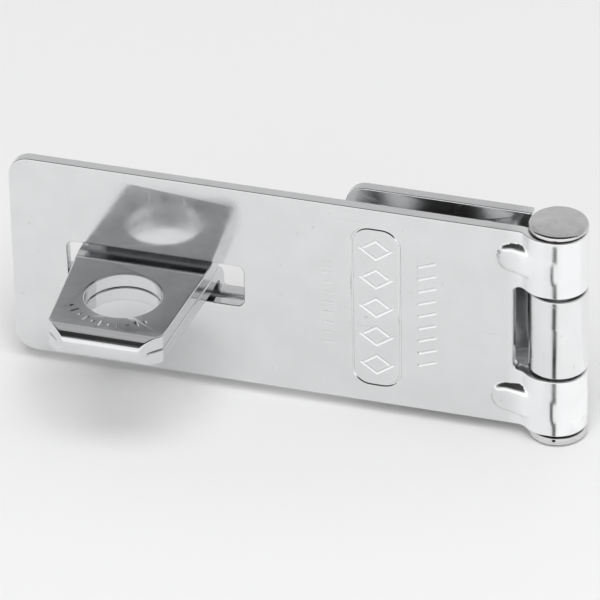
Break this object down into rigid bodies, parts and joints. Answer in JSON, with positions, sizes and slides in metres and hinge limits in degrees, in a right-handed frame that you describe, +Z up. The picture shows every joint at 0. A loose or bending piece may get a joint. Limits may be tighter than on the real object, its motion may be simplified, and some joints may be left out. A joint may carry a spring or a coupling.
{
  "type": "hasp and staple",
  "caption": "Sheet-steel hasp: a slotted leaf swings on a riveted pin and closes over a folded staple whose tongue takes a padlock.",
  "frame": {"origin": "centre of the hinge leaf's flat back, on the surface that the hinge leaf and staple are screwed to", "axes": "+X along the closed leaves towards the barrel, -Y out of the mounting surface to the front, +Z up along the hinge pin"},
  "size_m": [0.075, 0.0244, 0.0317],
  "materials": {
    "leaf_zinc": "bright zinc plating, faintly mottled",
    "hinge_zinc": "bright zinc plating",
    "pin_zinc": "bright zinc plating over a turned head",
    "staple_zinc": "bright zinc plating"
  },
  "bodies": {
    "hinge_side": {"hinge_leaf": "hinge_zinc"},
    "swinging_side": {"hasp_leaf": "leaf_zinc", "hinge_pin": "pin_zinc"},
    "staple_side": {"staple": "staple_zinc"}
  },
  "joints": [
    {"name": "hasp_hinge", "type": "hinge", "parent": "hinge_side", "child": "swinging_side", "pos_m": [0.0141, -0.0038, 0], "axis": [0, 0, 1], "range_deg": [0, 170]},
    {"name": "staple_release", "type": "slide", "parent": "hinge_side", "child": "staple_side", "axis": [0, 1, 0], "range_m": [0, 0.03]}
  ]
}
